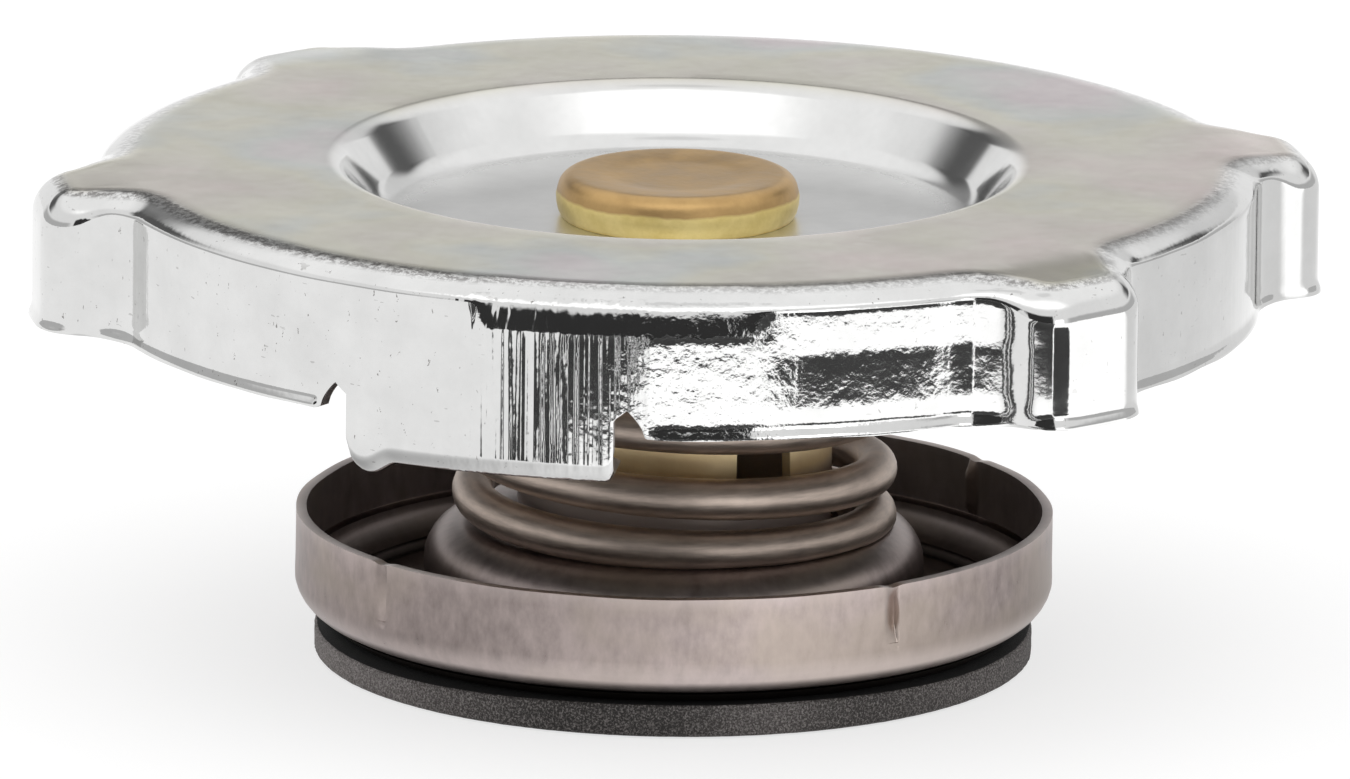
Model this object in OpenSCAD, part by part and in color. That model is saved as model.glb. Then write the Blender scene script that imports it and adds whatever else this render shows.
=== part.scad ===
// Vented pressure cap for a radiator filler neck, in millimetres.
// The origin is the centre of the lower seal's bottom face, and +Z runs up the cap's axis.
// The two locking tabs are on the Y axis.

/* [Shell] */
// Outer radius of the skirt
skirt_r = 33.5; // [32.5:0.1:35]
// Reach of the grip ears beyond the skirt
ear_reach = 4; // [3.5:0.1:4.5]
// Half angle of the round tip of an ear
ear_tip_angle = 2.5; // [1.5:0.1:5]
// Radius of the two corners of an ear
ear_corner_r = 2.8; // [2.6:0.1:3.4]
// Radius of the fillets between an ear and the skirt
ear_root_r = 4.3; // [3:0.1:6]
// Angle between an ear and the X axis
ear_angle = 30; // [26:0.5:34]
// Height of the shell's flat top
shell_top_z = 29.2; // [28:0.1:31]
// Height of the skirt, from the flat top to its bottom edge
skirt_h = 8.5; // [8:0.1:9]
// Thickness of the shell's sheet
shell_t = 0.8; // [0.6:0.05:1]
// Bend radius round the top edge, on the sheet's centre line
shell_bend_r = 1.4; // [1:0.1:1.6]

/* [Dish] */
// Radius where the dish's wall meets the flat top
dish_mouth_r = 19.9; // [19:0.1:21]
// Width of the dish's sloping wall
dish_wall_w = 2.5; // [2:0.1:3]
// Depth of the dish below the flat top
dish_depth = 3.4; // [3:0.1:3.6]
// Bend radius of the dish's rim, on the sheet's centre line
dish_rim_bend = 1.5; // [1:0.1:1.8]
// Bend radius at the dish's floor, on the sheet's centre line
dish_floor_bend = 1.4; // [1:0.1:1.8]

/* [Locking tabs] */
// Angle across a tab
tab_angle = 28; // [24:0.5:31]
// Drop of a tab below the skirt's bottom edge
tab_drop = 2.8; // [2.4:0.1:3.2]
// Length of a tab's inward lip, from the skirt's outer face
lip_len = 4.1; // [3.6:0.1:4.5]
// Bend radius of a tab's lip, on the sheet's centre line
tab_bend_r = 0.8; // [0.6:0.1:1]
// Radius of the round relief beside a tab
relief_r = 0.9; // [0.7:0.05:1.1]
// Height of the relief's centre above the skirt's bottom edge
relief_h = 0.8; // [0.6:0.1:1]
// Length of the lead-in at a tab's end
lead_len = 2; // [1.5:0.1:2.5]
// Slope of the lead-in
lead_slope = 17; // [12:1:22]

/* [Rivet] */
// Radius of the rivet's head
head_r = 7.05; // [6.5:0.05:7.6]
// Height of the rivet's head above the dish floor
head_h = 2.5; // [2.2:0.1:2.8]
// Rounding of the head's edge
head_round = 0.9; // [0.6:0.1:1]
// Depth of the hollow in the head's top
head_hollow = 0.25; // [0.1:0.05:0.4]
// Radius of the rivet's shank
shank_r = 4; // [3.5:0.1:4.5]
// Width of the rivet's clinched lower end beyond its shank
clinch_w = 1.6; // [1.3:0.1:2]
// Height of the clinched lower end
clinch_h = 1; // [0.8:0.1:1.2]
// Radial clearance of the shank in the shell, which turns on it
swivel_clearance = 0.06; // [0.03:0.01:0.1]

/* [Friction disc and upper seal] */
// Thickness of the friction disc
disc_t = 0.4; // [0.3:0.05:0.5]
// Gap between the friction disc's edge and the tips of the tabs' lips
disc_gap = 0.6; // [0.4:0.1:1]
// Width of the disc's sloped part
disc_slope_w = 6; // [5:0.1:7]
// Drop of the disc's sloped part
disc_drop = 1.5; // [1.2:0.1:1.8]
// Margin of the disc round the upper seal, outside and inside
upper_seal_inset = [0.3, 1.1];
// Width of the upper seal
upper_seal_w = 5.9; // [5:0.1:6.4]
// Thickness of the upper seal
upper_seal_t = 1.4; // [1.2:0.1:1.6]

/* [Spring cage] */
// Outer radius of the cage's tube
cage_r = 9.1; // [8.8:0.05:9.2]
// Thickness of the cage's sheet
cage_t = 0.6; // [0.5:0.05:0.7]
// Width of the flange at the cage's bottom
cage_flange_w = 2.7; // [2:0.1:3.2]
// Number of windows in the cage
cage_windows = 4; // [2:1:6]
// Width of a window at its top
window_w_top = 3.3; // [2.5:0.1:3.8]
// Width of a window at its bottom
window_w_bottom = 3.9; // [3:0.1:4.2]
// Height of a window's bottom edge above the cup's dome
window_rise = 2.7; // [2:0.1:4]
// Height left above a window
window_head = 2.5; // [2:0.1:4]
// Angle of the first window
window_angle = 325; // [280:1:360]

/* [Main spring] */
// Wire diameter of the main spring
wire_d = 2.4; // [2.2:0.1:2.6]
// Radial gap between the main spring and the cage
spring_gap = 1.4; // [1.2:0.05:1.7]
// Turns of the main spring
spring_turns = 5.1; // [4.6:0.1:6]
// Angle where the wire's lower end lies
spring_start = 85; // [0:5:355]

/* [Valve cup] */
// Overhang of the cup's wall beyond the gasket
cup_overhang = 1.2; // [1:0.05:1.5]
// Height of the cup's rim above the gasket
cup_h = 6.55; // [6:0.05:7]
// Thickness of the cup's sheet
cup_t = 0.6; // [0.5:0.05:0.7]
// Bend radius of the cup's lower corner, on the sheet's centre line
cup_bend_r = 1.9; // [1.4:0.1:2.2]
// Height of the ledge above the gasket's top face
ledge_gap = 0.6; // [0.4:0.05:0.8]
// Width of the ledge over the gasket's edge
ledge_w = 1.1; // [0.8:0.1:1.6]
// Margin of the dome round the main spring
dome_margin = 1.6; // [1.4:0.1:2]
// Height of the dome's top above the gasket, where the main spring stands
dome_h = 5.95; // [5.7:0.05:6.2]
// Bend radius of the dome's top, on the sheet's centre line
dome_bend_r = 2.2; // [1.8:0.1:2.4]
// Radial clearance of the dome on the cage's tube
cage_clearance = 0.45; // [0.4:0.05:0.7]
// Depth of the four stamped nicks in the cup's wall
nick_depth = 0.15; // [0.1:0.05:0.25]
// Length of a nick
nick_len = 2.2; // [1.5:0.1:2.6]
// Distance of a nick's top below the cup's rim
nick_drop = 1; // [0.6:0.1:1.4]
// Radius of a nick's round bottom
nick_r = 0.5; // [0.4:0.05:0.7]
// Number of nicks round the cup
nicks = 4; // [2:1:6]
// Angle of the first nick
nick_angle = 325; // [300:1:350]

/* [Lower gasket] */
// Width of the lower gasket's sealing ring
gasket_w = 4; // [3.5:0.1:4.5]
// Thickness of the lower gasket
gasket_t = 1.85; // [1.7:0.05:2]

/* [Retainer and vacuum valve] */
// Width of the retainer's brim
brim_w = 2.6; // [2:0.1:3]
// Height of the brim's bottom face above the gasket's bottom
brim_z = 0.3; // [0.2:0.05:0.4]
// Thickness of the retainer's sheet
retainer_t = 0.6; // [0.5:0.05:0.65]
// Height of the retainer's crown above the gasket
crown_h = 2.35; // [2.2:0.05:2.5]
// Number of vent holes in the crown
vents = 6; // [4:1:8]
// Radius of a vent hole
vent_r = 0.8; // [0.6:0.05:0.9]
// Radius of the circle of vent holes
vent_circle_r = 3.8; // [3.7:0.1:4]
// Radius of the vacuum valve's disc
vacuum_r = 6; // [5.6:0.1:6.6]
// Thickness of the vacuum valve's disc
vacuum_t = 0.7; // [0.6:0.05:0.8]
// Thickness of the vacuum valve's seal
vacuum_seal_t = 0.6; // [0.5:0.05:0.7]
// Radius of the vacuum valve's stem
stem_r = 1.2; // [1:0.05:1.3]
// Radial clearance of the stem in the crown
stem_clearance = 0.07; // [0.03:0.01:0.1]
// Wire diameter of the vacuum valve's spring
vacuum_wire_d = 0.4; // [0.35:0.05:0.45]
// Height of the vacuum valve's spring
vacuum_spring_h = 4; // [3.8:0.1:4.6]
// Turns of the vacuum valve's spring
vacuum_turns = 5; // [4.5:0.5:5.5]
// Width of the keeper round the stem
keeper_w = 1.5; // [1.3:0.1:1.8]
// Thickness of the keeper
keeper_t = 0.6; // [0.5:0.05:0.7]

/* [Hidden] */
// Points along each bend
bend_steps = 6;
// Facets of a full circle
round_fn = 120;
small_fn = 48;
// Sides of each spring's wire, and steps along each turn
main_wire = [12, 40];
vacuum_wire = [8, 24];
// Gap between the closed coils at a spring's ends
coil_gap = 0.1;
// Overhang of a cutter past the face it cuts
cut_margin = 1;
// Flat shoulder each side of a relief's round top
relief_shoulder = 0.15;
// Gaps of the gasket round the retainer's tube and brim
gasket_clearance = 0.1;
brim_clearance = 0.3;
// Length of the stem above its keeper
stem_end = 0.5;
// Margin of the vacuum valve's disc round its seal
vacuum_seal_inset = 0.5;
// Radial gap between the stem and its spring
vacuum_coil_gap = 0.3;
// Bend radii of the friction disc, the cage, the cup's ledge and the retainer, on the sheets' centre lines
disc_bend_r = 2;
cage_bends = [1, 0.6];
ledge_bend_r = 0.4;
dome_root_bend_r = 0.6;
retainer_bends = [0.5, 0.8];
// Sink of the lead-in into the lip, and its set-back from the lip's tip
lead_sink = 0.05;
lead_setback = 0.1;
// Overlap of the flat top with the shell's edge and its dish
joint_lap = 0.3;

// Levels and radii that follow from the sizes above
shell_mid = shell_t / 2;
rim_bend_in = shell_bend_r + shell_mid;
ear_tip_r = skirt_r + ear_reach;
skirt_bottom_z = shell_top_z - skirt_h;
relief_z = skirt_bottom_z + relief_h;
tab_bottom_z = skirt_bottom_z - tab_drop;
tab_tip_r = skirt_r - lip_len;
dish_floor_r = dish_mouth_r - dish_wall_w;
clinch_r = shank_r + clinch_w;
disc_r = tab_tip_r - disc_gap;
upper_seal_r = disc_r - upper_seal_inset[0];
upper_seal_in_r = upper_seal_r - upper_seal_w;
disc_slope_r = upper_seal_in_r - upper_seal_inset[1];
disc_flat_r = disc_slope_r - disc_slope_w;
dish_floor_z = shell_top_z - dish_depth;
dish_under_z = dish_floor_z - shell_t;
disc_under_z = dish_under_z - disc_t;
disc_rim_z = disc_under_z - disc_drop;
cage_under_z = disc_under_z - cage_t;
cage_mid_r = cage_r - cage_t / 2;
cage_flange_r = cage_r + cage_flange_w;
spring_r = cage_r + spring_gap + wire_d;
dome_r = spring_r + dome_margin;
dome_z = gasket_t + dome_h;
window_z0 = dome_z + window_rise;
window_z1 = cage_under_z - window_head;
cup_mid = cup_t / 2;
dome_hole_r = cage_r + cage_clearance;
dome_under_z = dome_z - cup_t;
dome_in_r = dome_r - cup_t;
ledge_z = gasket_t + ledge_gap;
gasket_in_r = dome_in_r + gasket_clearance;
brim_r = dome_in_r + brim_w;
gasket_recess_r = brim_r + brim_clearance;
gasket_r = gasket_recess_r + gasket_w;
cup_r = gasket_r + cup_overhang;
cup_rim_z = gasket_t + cup_h;
seat_r = gasket_r - ledge_w;
crown_z = gasket_t + crown_h;
keeper_r = stem_r + keeper_w;
crown_under_z = crown_z - retainer_t;
seal_under_z = crown_under_z - vacuum_seal_t;
vacuum_under_z = seal_under_z - vacuum_t;
keeper_z = crown_z + vacuum_spring_h;
stem_top_z = keeper_z + keeper_t + stem_end;
stem_hole_r = stem_r + stem_clearance;
vacuum_seal_r = vacuum_r - vacuum_seal_inset;
vacuum_coil_r = stem_r + vacuum_coil_gap + vacuum_wire_d / 2;

// Ear geometry: centres of the corner and fillet circles, and where they touch
ear_angles = [ear_angle, 180 - ear_angle, 180 + ear_angle, 360 - ear_angle];
corner_at = ear_tip_r - ear_corner_r;
fillet_at = skirt_r + ear_root_r;
centre_gap = ear_corner_r + ear_root_r;
ear_spread = acos((corner_at ^ 2 + fillet_at ^ 2 - centre_gap ^ 2) / (2 * corner_at * fillet_at));
fillet_angle = ear_tip_angle + ear_spread;
corner_c = polar(corner_at, ear_tip_angle);
fillet_c = polar(fillet_at, fillet_angle);
touch_angle = atan2(fillet_c.y - corner_c.y, fillet_c.x - corner_c.x);
tab_half = tab_angle / 2;
relief_angle = 2 * (relief_r + relief_shoulder) / skirt_r * 180 / PI;

function polar(r, a) = [r * cos(a), r * sin(a)];
function heading(p, q) = atan2(q.y - p.y, q.x - p.x);
function wrap(a) = a > 180 ? a - 360 : a < -180 ? a + 360 : a;
function left(h) = [-sin(h), cos(h)];

// Centre-line points and headings of a sheet bent at the inner points of a path
function bend_at(p, q, s, r) =
    let (h = heading(p, q), turn = wrap(heading(q, s) - h), side = sign(turn),
         start = q - polar(r * tan(abs(turn) / 2), h), c = start + side * r * left(h))
    [for (k = [0 : bend_steps])
        let (g = h + turn * k / bend_steps) [c - side * r * left(g), g]];

function sheet_line(path, radii) =
    let (n = len(path))
    concat(
        [[path[0], heading(path[0], path[1])]],
        [for (i = [1 : 1 : n - 2]) each bend_at(path[i - 1], path[i], path[i + 1], radii[i - 1])],
        [[path[n - 1], heading(path[n - 2], path[n - 1])]]);

// Cross-section of a bent sheet of thickness t
module sheet(path, radii, t) {
    line = sheet_line(path, radii);
    n = len(line);
    polygon(concat(
        [for (k = [0 : n - 1]) line[k][0] + t / 2 * left(line[k][1])],
        [for (k = [n - 1 : -1 : 0]) line[k][0] - t / 2 * left(line[k][1])]));
}

// Turned sheet from its cross-section path
module turned_sheet(path, radii, t) {
    rotate_extrude($fn = round_fn) sheet(path, radii, t);
}

// Washer-shaped ring between two heights
module ring(r_out, r_in, z0, z1) {
    rotate_extrude($fn = round_fn)
        translate([r_in, z0]) square([r_out - r_in, z1 - z0]);
}

// Section of the shell's edge, with x = 0 on the outline and negative x inside it
module edge_section() {
    sheet([[-rim_bend_in - 2 * joint_lap, shell_top_z - shell_mid],
           [-shell_mid, shell_top_z - shell_mid],
           [-shell_mid, skirt_bottom_z]], [shell_bend_r], shell_t);
}

// Piece of the shell's edge swept about a centre, from one angle to another
module edge_arc(c, r, a0, a1, hollow = false) {
    translate([c.x, c.y, 0]) rotate(a0) rotate_extrude(angle = a1 - a0, $fn = round_fn)
        translate([r, 0]) mirror([hollow ? 1 : 0, 0]) children();
}

// One ear's edge, on the X axis
module ear_edge() {
    edge_arc([0, 0], ear_tip_r, -ear_tip_angle, ear_tip_angle) children();
    for (m = [0, 1]) mirror([0, m, 0]) {
        edge_arc(corner_c, ear_corner_r, ear_tip_angle, touch_angle) children();
        edge_arc(fillet_c, ear_root_r, 180 + fillet_angle, 180 + touch_angle, true) children();
    }
}

// Points along an arc, at the middle of each step
function arc(c, r, a0, a1, n) = [for (k = [0 : n - 1]) c + polar(r, a0 + (a1 - a0) * (k + 0.5) / n)];
function flip(points) = [for (k = [len(points) - 1 : -1 : 0]) [points[k].x, -points[k].y]];
function turn(points, a) = [for (p = points) [p.x * cos(a) - p.y * sin(a), p.x * sin(a) + p.y * cos(a)]];

// Flat outline of the shell, set in from its edge
function half_ear(inset) = concat(
    arc([0, 0], ear_tip_r - inset, 0, ear_tip_angle, 2),
    arc(corner_c, ear_corner_r - inset, ear_tip_angle, touch_angle, 5),
    arc(fillet_c, ear_root_r + inset, 180 + touch_angle, 180 + fillet_angle, 8));
function outline(inset) =
    let (half = half_ear(inset), ear = concat(flip(half), half))
    [for (k = [0 : 3])
        let (a = ear_angles[k], b = k < 3 ? ear_angles[k + 1] : ear_angles[0] + 360)
        each concat(turn(ear, a), arc([0, 0], skirt_r - inset, a + fillet_angle, b - fillet_angle, 16))];

// Section of the shell's edge where it runs down into a locking tab and its inward lip
module tab_section() {
    sheet([[-rim_bend_in - 2 * joint_lap, shell_top_z - shell_mid],
           [-shell_mid, shell_top_z - shell_mid],
           [-shell_mid, tab_bottom_z + shell_mid],
           [tab_tip_r - skirt_r, tab_bottom_z + shell_mid]], [shell_bend_r, tab_bend_r], shell_t);
}

// Sloped lead-in at the end of a tab's lip, for a tab on the X axis
module lead_in() {
    rotate(-tab_half + lead_len / skirt_r * 180 / PI)
        translate([tab_tip_r + lead_setback, 0, tab_bottom_z + shell_t - lead_sink])
            rotate([lead_slope, 0, 0]) translate([0, -lead_len, -shell_t])
                cube([skirt_r - shell_t - tab_bend_r - tab_tip_r, lead_len, shell_t]);
}

// Cutter for one side of a tab: its round relief, and everything below the skirt beyond it
module tab_trim() {
    trim_r = tab_tip_r - cut_margin;
    trim_w = skirt_r - tab_tip_r + 2 * cut_margin;
    trim_z = tab_bottom_z - cut_margin;
    rotate(tab_half) rotate_extrude(angle = relief_angle, $fn = round_fn)
        translate([trim_r, trim_z]) square([trim_w, relief_z - trim_z]);
    rotate(tab_half + relief_angle / 2) rotate_extrude(angle = 60, $fn = round_fn)
        translate([trim_r, trim_z]) square([trim_w, skirt_bottom_z - trim_z]);
    rotate(tab_half + relief_angle / 2) translate([skirt_r - 2 * shell_t, 0, relief_z])
        rotate([0, 90, 0]) cylinder(r = relief_r, h = 4 * shell_t, $fn = small_fn);
}

// Skirt between two ears, with a locking tab on the X axis
module tab_side() {
    side_half = 90 - ear_angle - fillet_angle;
    difference() {
        edge_arc([0, 0], skirt_r, -side_half, side_half) tab_section();
        tab_trim();
        mirror([0, 1, 0]) tab_trim();
    }
    lead_in();
}

module cap_shell() {
    plain_half = ear_angle - fillet_angle;
    color([0.78, 0.78, 0.77]) {
        for (a = ear_angles) rotate(a) ear_edge() edge_section();
        for (a = [0, 180]) {
            rotate(a) edge_arc([0, 0], skirt_r, -plain_half, plain_half) edge_section();
            rotate(a + 90) tab_side();
        }
        translate([0, 0, shell_top_z - shell_t]) linear_extrude(shell_t) difference() {
            polygon(outline(rim_bend_in + joint_lap));
            circle(r = dish_mouth_r + dish_rim_bend, $fn = round_fn);
        }
        turned_sheet([[dish_mouth_r + dish_rim_bend + joint_lap, shell_top_z - shell_mid],
                      [dish_mouth_r, shell_top_z - shell_mid],
                      [dish_floor_r, dish_floor_z - shell_mid],
                      [shank_r + swivel_clearance, dish_floor_z - shell_mid]],
                     [dish_rim_bend, dish_floor_bend], shell_t);
    }
}

module centre_rivet() {
    color([0.62, 0.48, 0.24]) rotate_extrude($fn = round_fn) difference() {
        union() {
            translate([0, dish_floor_z]) square([head_r - head_round, head_h]);
            translate([0, dish_floor_z]) square([head_r, head_h - head_round]);
            translate([head_r - head_round, dish_floor_z + head_h - head_round]) intersection() {
                circle(r = head_round, $fn = small_fn);
                square(head_round);
            }
            translate([0, cage_under_z - clinch_h])
                square([shank_r, dish_floor_z - cage_under_z + clinch_h]);
            translate([0, cage_under_z - clinch_h]) square([clinch_r, clinch_h]);
        }
        polygon([[0, dish_floor_z + head_h - head_hollow], [head_r - 2 * head_round, dish_floor_z + head_h],
                 [0, dish_floor_z + head_h + cut_margin]]);
    }
}

module friction_disc() {
    mid_top = disc_under_z + disc_t / 2;
    mid_low = disc_rim_z + disc_t / 2;
    color([0.66, 0.63, 0.56]) turned_sheet(
        [[shank_r, mid_top], [disc_flat_r, mid_top], [disc_slope_r, mid_low], [disc_r, mid_low]],
        [disc_bend_r, disc_bend_r], disc_t);
}

module upper_seal() {
    color([0.12, 0.12, 0.12]) ring(upper_seal_r, upper_seal_in_r, disc_rim_z - upper_seal_t, disc_rim_z);
}

module spring_cage() {
    mid_top = cage_under_z + cage_t / 2;
    mid_low = dome_under_z - cage_t / 2;
    color([0.72, 0.57, 0.27]) difference() {
        turned_sheet([[shank_r, mid_top], [cage_mid_r, mid_top],
                      [cage_mid_r, mid_low], [cage_flange_r, mid_low]], cage_bends, cage_t);
        for (k = [0 : cage_windows - 1]) rotate(window_angle + k * 360 / cage_windows)
            rotate([90, 0, 90]) linear_extrude(cage_r + cut_margin)
                polygon([[-window_w_bottom / 2, window_z0], [window_w_bottom / 2, window_z0],
                         [window_w_top / 2, window_z1], [-window_w_top / 2, window_z1]]);
    }
}

// Wire of a compression spring with closed and ground ends
module coil(mean_r, d, z0, z1, turns, start, dir, wire_sides, turn_steps) {
    sink = 0.05 * d;
    steps = round(turns * turn_steps);
    end_rise = d + coil_gap;
    pitch = (z1 - z0 + 2 * sink - 2 * end_rise) / (turns - 2);
    function rise(n) = n < 1 ? end_rise * n
        : n > turns - 1 ? z1 - z0 + 2 * sink - end_rise * (turns - n)
        : end_rise + pitch * (n - 1);
    function section(i) =
        let (n = i * turns / steps, a = start + dir * 360 * n, zc = z0 - sink + rise(n))
        [for (k = [0 : wire_sides - 1])
            let (b = 360 * k / wire_sides, r = mean_r + d / 2 * cos(b), z = zc + d / 2 * sin(b))
            [r * cos(a), r * sin(a), min(max(z, z0), z1)]];
    points = [for (i = [0 : steps]) each section(i)];
    walls = [for (i = [0 : steps - 1], k = [0 : wire_sides - 1])
        let (a = i * wire_sides + k, b = i * wire_sides + (k + 1) % wire_sides)
        each [[a, a + wire_sides, b + wire_sides], [a, b + wire_sides, b]]];
    first = [for (k = [0 : wire_sides - 1]) (k + wire_sides / 4) % wire_sides];
    last = [for (k = [0 : wire_sides - 1]) steps * wire_sides + (7 * wire_sides / 4 - k) % wire_sides];
    faces = concat(walls, [first, last]);
    polyhedron(points, dir < 0 ? faces : [for (f = faces) [for (k = [len(f) - 1 : -1 : 0]) f[k]]]);
}

module main_spring() {
    color([0.5, 0.46, 0.43])
        coil(spring_r - wire_d / 2, wire_d, dome_z, disc_under_z, spring_turns, spring_start, -1,
             main_wire[0], main_wire[1]);
}

module valve_cup() {
    ledge_mid = ledge_z + cup_mid;
    seat_mid = gasket_t + cup_mid;
    color([0.52, 0.48, 0.45]) difference() {
        turned_sheet([[cup_r - cup_mid, cup_rim_z], [cup_r - cup_mid, ledge_mid],
                      [seat_r + ledge_gap, ledge_mid], [seat_r, seat_mid], [dome_r - cup_mid, seat_mid],
                      [dome_r - cup_mid, dome_z - cup_mid], [dome_hole_r, dome_z - cup_mid]],
                     [cup_bend_r, ledge_bend_r, ledge_bend_r, dome_root_bend_r, dome_bend_r], cup_t);
        for (k = [0 : nicks - 1]) rotate(nick_angle + 360 * k / nicks)
            translate([cup_r + nick_r - nick_depth, 0, cup_rim_z - nick_drop - nick_len])
                cylinder(r = nick_r, h = nick_len, $fn = small_fn);
    }
}

module lower_gasket() {
    color([0.16, 0.16, 0.16]) difference() {
        ring(gasket_r, gasket_in_r, 0, gasket_t);
        translate([0, 0, -cut_margin])
            cylinder(r = gasket_recess_r, h = brim_z + retainer_t + cut_margin, $fn = round_fn);
    }
}

module gasket_retainer() {
    mid_low = brim_z + retainer_t / 2;
    mid_top = crown_z - retainer_t / 2;
    mid_r = dome_in_r - retainer_t / 2;
    color([0.7, 0.56, 0.28]) difference() {
        turned_sheet([[brim_r, mid_low], [mid_r, mid_low], [mid_r, mid_top], [stem_hole_r, mid_top]],
                     retainer_bends, retainer_t);
        for (k = [0 : vents - 1]) rotate(360 * k / vents)
            translate([vent_circle_r, 0, crown_under_z - cut_margin])
                cylinder(r = vent_r, h = retainer_t + 2 * cut_margin, $fn = small_fn);
    }
}

module vacuum_valve() {
    color([0.72, 0.58, 0.3]) {
        translate([0, 0, vacuum_under_z]) cylinder(r = vacuum_r, h = vacuum_t, $fn = round_fn);
        translate([0, 0, vacuum_under_z])
            cylinder(r = stem_r, h = stem_top_z - vacuum_under_z, $fn = small_fn);
    }
}

module vacuum_seal() {
    color([0.14, 0.14, 0.14]) ring(vacuum_seal_r, stem_r, seal_under_z, crown_under_z);
}

module vacuum_spring() {
    color([0.6, 0.58, 0.55])
        coil(vacuum_coil_r, vacuum_wire_d, crown_z, keeper_z, vacuum_turns, 0, 1,
             vacuum_wire[0], vacuum_wire[1]);
}

module spring_keeper() {
    color([0.68, 0.56, 0.3]) ring(keeper_r, stem_r, keeper_z, keeper_z + keeper_t);
}

cap_shell();
centre_rivet();
friction_disc();
upper_seal();
spring_cage();
main_spring();
valve_cup();
lower_gasket();
gasket_retainer();
vacuum_valve();
vacuum_seal();
vacuum_spring();
spring_keeper();
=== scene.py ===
"""Looks of the vented radiator cap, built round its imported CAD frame.

Lengths in the builders are millimetres in the CAD's frame, and meshes are made in metres.
The camera and the studio are in metres.
"""

import math
from collections import namedtuple

import bpy
import numpy as np
from mathutils import Matrix, Vector


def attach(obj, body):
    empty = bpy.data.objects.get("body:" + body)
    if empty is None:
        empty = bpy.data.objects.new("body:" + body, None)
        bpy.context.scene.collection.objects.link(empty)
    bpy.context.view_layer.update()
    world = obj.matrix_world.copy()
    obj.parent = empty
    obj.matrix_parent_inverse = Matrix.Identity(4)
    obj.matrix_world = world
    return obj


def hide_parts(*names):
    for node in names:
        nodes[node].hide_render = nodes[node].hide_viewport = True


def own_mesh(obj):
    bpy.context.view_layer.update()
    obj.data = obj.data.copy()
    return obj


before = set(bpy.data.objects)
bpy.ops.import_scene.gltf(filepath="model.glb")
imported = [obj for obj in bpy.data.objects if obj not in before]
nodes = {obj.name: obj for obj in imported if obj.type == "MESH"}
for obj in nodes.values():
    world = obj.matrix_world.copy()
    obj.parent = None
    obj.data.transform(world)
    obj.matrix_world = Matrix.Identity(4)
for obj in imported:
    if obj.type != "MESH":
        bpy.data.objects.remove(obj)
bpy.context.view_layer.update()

MM = 0.001

# Sizes as in part.scad
SKIRT_R, EAR_TIP_R = 33.5, 37.5
EAR_TIP_ANGLE = math.radians(2.5)
EAR_CORNER_R, EAR_ROOT_R = 2.8, 4.3
EAR_ANGLES = [math.radians(a) for a in (30, 150, 210, 330)]
SHELL_TOP, SKIRT_BOTTOM, SHELL_T = 29.2, 20.7, 0.8
TAB_HALF, TAB_BOTTOM, TAB_TIP_R = math.radians(14), 17.9, 29.4
NOTCH_LEN = 2.1
DISH_MOUTH_R, DISH_FLOOR_R, DISH_FLOOR_Z = 19.9, 17.4, 25.8
HEAD_R, HEAD_H, SHANK_R, CLINCH_R, CLINCH_H = 7.05, 2.5, 4.0, 5.6, 1.0
DISC_UNDER, CAGE_UNDER = 24.6, 24.0
CAGE_R, CAGE_T, CAGE_FLANGE_R = 9.1, 0.6, 11.8
WINDOWS, WINDOW_ANGLE = 4, math.radians(325)
WINDOW_Z0, WINDOW_Z1, WINDOW_W0, WINDOW_W1 = 10.5, 21.5, 3.9, 3.3
SPRING_R, WIRE_D, SPRING_TURNS, SPRING_START = 12.9, 2.4, 5.1, 85
DOME_R, DOME_Z, DOME_HOLE_R = 14.5, 7.8, 9.55
CUP_R, CUP_RIM_Z, CUP_T, CUP_BENDS = 22.0, 8.4, 0.6, [1.9, 0.4, 0.4, 0.6, 2.2]
LEDGE_GAP, LEDGE_R, SEAT_R = 0.6, 20.3, 19.7
GASKET_R, GASKET_T, GASKET_IN_R = 20.8, 1.85, 14.0
RECESS_R, RECESS_H = 16.8, 0.9
VACUUM_COIL_R, VACUUM_WIRE_D, VACUUM_TURNS = 1.7, 0.4, 5
CROWN_Z, VACUUM_SPRING_H = 4.2, 4.0

# The photo's camera stands to the right of the front tab: FRONT points to it, and RIGHT to its right
CAM_AZ_DEG = 20
CAM_AZ = math.radians(CAM_AZ_DEG)
CAM_SIDE_DEG = CAM_AZ_DEG - 90
FRONT = (math.sin(CAM_AZ), -math.cos(CAM_AZ), 0)
RIGHT = (math.cos(CAM_AZ), math.sin(CAM_AZ), 0)


def polar(r, a):
    return np.array([r * math.cos(a), r * math.sin(a)])


def turned(v, a):
    return np.array([v[0] * math.cos(a) - v[1] * math.sin(a), v[0] * math.sin(a) + v[1] * math.cos(a)])


def smooth(a, b, x):
    """Smooth step from 0 at a to 1 at b."""
    t = np.clip((np.asarray(x, float) - a) / (b - a), 0, 1)
    return t * t * (3 - 2 * t)


def band(rise, fall, x):
    """Smooth step up over one span and down again over another."""
    return smooth(*rise, x) * (1 - smooth(*fall, x))


def peak(middle, width, x):
    """Bell curve of height 1."""
    return np.exp(-((x - middle) / width) ** 2)


def turn_from(start, degrees):
    """Angle from a start, between -180 and 180 degrees."""
    return (degrees - start + 540) % 360 - 180


def round_places(verts):
    """Distance from the axis, angle in degrees and height of each vertex."""
    radius = np.hypot(verts[:, 0], verts[:, 1])
    return radius, np.degrees(np.arctan2(verts[:, 1], verts[:, 0])) % 360, verts[:, 2].copy()


def move_out(verts, radius, amount):
    """Move vertices away from the axis, where radius is their distance from it."""
    verts[:, :2] *= (1 + amount / np.maximum(radius, 1))[:, None]


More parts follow.
